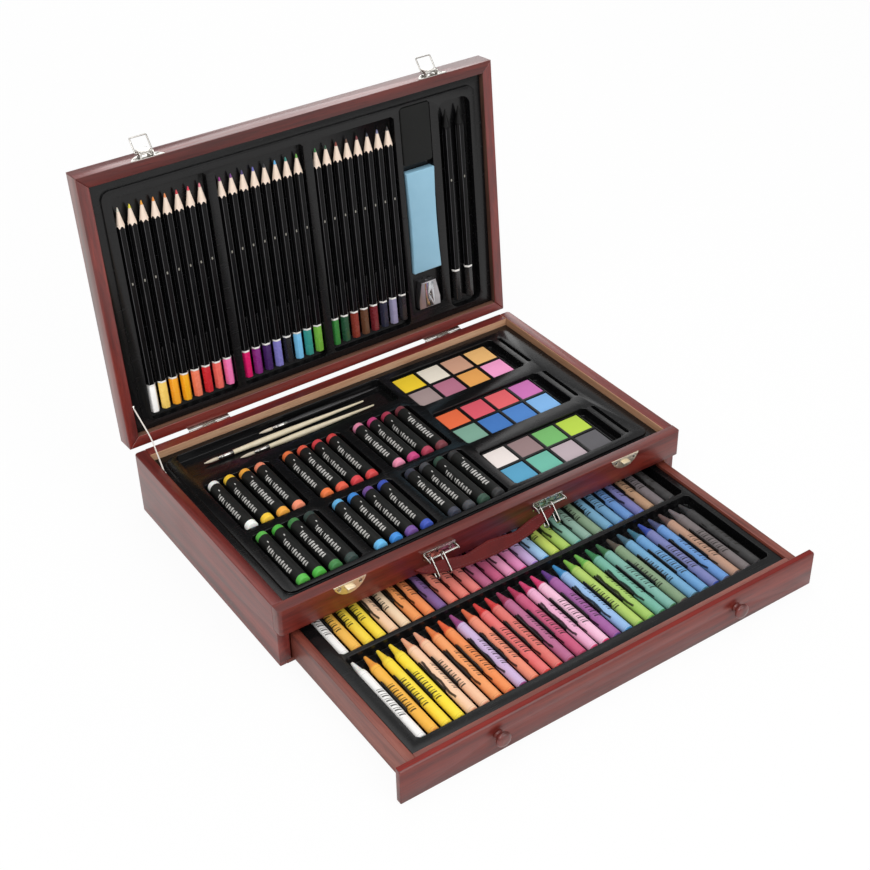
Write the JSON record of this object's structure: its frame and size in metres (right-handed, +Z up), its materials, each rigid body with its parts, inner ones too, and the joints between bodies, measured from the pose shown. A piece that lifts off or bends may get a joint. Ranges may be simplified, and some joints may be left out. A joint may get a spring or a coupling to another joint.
{
  "type": "wooden art supply box with drawer",
  "caption": "Wooden clamshell art box with an open lid of pencils, an upper tray of pastels and paints, and a crayon drawer.",
  "frame": {"origin": "centre of the base's underside", "axes": "+X to the right seen from the drawer front, +Y to the hinges, +Z up"},
  "size_m": [0.38, 0.4462, 0.3043],
  "materials": {
    "mahogany_wood": "stained and varnished",
    "inner_board": "stained",
    "black_tray": "vacuum-formed, semi-gloss",
    "pastel_wrap": "paper-wrapped oil pastel",
    "wax_crayon": "wax in a paper wrapper",
    "pencil_wood": "black lacquer with coloured caps",
    "brush_wood": "bare and lacquered",
    "bristle": "soft hair",
    "nickel": "nickel-plated",
    "paint": "dry watercolour",
    "knob_wood": "stained and varnished",
    "strap": "leather-look strap",
    "cord": "braided",
    "rubber_blue": "matt",
    "pad_black": "matt",
    "light_metal": "satin"
  },
  "bodies": {
    "case": {"right_side_panel": "mahogany_wood", "left_side_panel": "mahogany_wood", "front_rail": "mahogany_wood", "back_panel": "mahogany_wood", "bottom_panel": "inner_board", "divider_panel": "inner_board", "upper_tray": "black_tray", "pastels_front_row": "pastel_wrap", "pastels_back_row": "pastel_wrap", "brush_handles": "brush_wood", "brush_ferrules": "nickel", "brush_tufts": "bristle", "palettes": "black_tray", "paint_cakes": "paint", "hinge_base_leaves": "nickel", "hinge_pins": "nickel", "hinge_base_screws": "nickel", "strike_plates": "nickel", "rail_screws": "nickel", "handle_brackets": "nickel", "stay_pin_base": "nickel", "stay_cord": "cord"},
    "lid": {"lid_front_rail": "mahogany_wood", "lid_back_rail": "mahogany_wood", "lid_right_rail": "mahogany_wood", "lid_left_rail": "mahogany_wood", "lid_top_panel": "mahogany_wood", "pencil_tray": "black_tray", "pencils_bay_1": "pencil_wood", "pencils_bay_2": "pencil_wood", "pencils_bay_3": "pencil_wood", "sketch_pencils": "pencil_wood", "sanding_pad": "pad_black", "eraser": "rubber_blue", "sharpener_body": "light_metal", "sharpener_blade": "nickel", "sharpener_screw": "nickel", "hinge_lid_leaves": "nickel", "hinge_lid_screws": "nickel", "catch_plates": "nickel", "catch_pins": "nickel", "catch_screws": "nickel", "stay_pin_lid": "nickel"},
    "drawer": {"drawer_front": "mahogany_wood", "drawer_inner_wall": "inner_board", "drawer_right_side": "inner_board", "drawer_left_side": "inner_board", "drawer_back_wall": "inner_board", "drawer_bottom_panel": "inner_board", "crayon_tray": "black_tray", "crayons_front_row": "wax_crayon", "crayons_back_row": "wax_crayon", "drawer_knobs": "knob_wood", "knob_screws": "nickel"},
    "handle_loops": {"handle_links": "nickel"},
    "handle": {"handle_grip": "strap"},
    "left_lever": {"left_catch_lever": "nickel"},
    "left_bail": {"left_catch_bail": "nickel"},
    "right_lever": {"right_catch_lever": "nickel"},
    "right_bail": {"right_catch_bail": "nickel"}
  },
  "joints": [
    {"name": "lid_hinge", "type": "hinge", "parent": "case", "child": "lid", "pos_m": [0, 0.12115, 0.0532], "axis": [1, 0, 0], "range_deg": [0, 95.2], "deforming": ["stay_cord"]},
    {"name": "drawer_slide", "type": "slide", "parent": "case", "child": "drawer", "axis": [0, 1, 0], "range_m": [-0.03, 0.1547]},
    {"name": "handle_swing", "type": "hinge", "parent": "case", "child": "handle_loops", "pos_m": [0, -0.1234, 0.0475], "axis": [1, 0, 0], "range_deg": [-135, 44]},
    {"name": "handle_shift", "type": "slide", "parent": "handle_loops", "child": "handle", "axis": [1, 0, 0], "range_m": [-0.002, 0.015]},
    {"name": "left_lever_turn", "type": "hinge", "parent": "lid", "child": "left_lever", "pos_m": [-0.1305, 0.15019, 0.29391], "axis": [-1, 0, 0], "range_deg": [-110, 0]},
    {"name": "left_bail_turn", "type": "hinge", "parent": "left_lever", "child": "left_bail", "pos_m": [-0.1305, 0.15367, 0.29359], "axis": [1, 0, 0], "range_deg": [-58, 131]},
    {"name": "right_lever_turn", "type": "hinge", "parent": "lid", "child": "right_lever", "pos_m": [0.1305, 0.15019, 0.29391], "axis": [-1, 0, 0], "range_deg": [-110, 0]},
    {"name": "right_bail_turn", "type": "hinge", "parent": "right_lever", "child": "right_bail", "pos_m": [0.1305, 0.15367, 0.29359], "axis": [1, 0, 0], "range_deg": [-58, 131]}
  ]
}
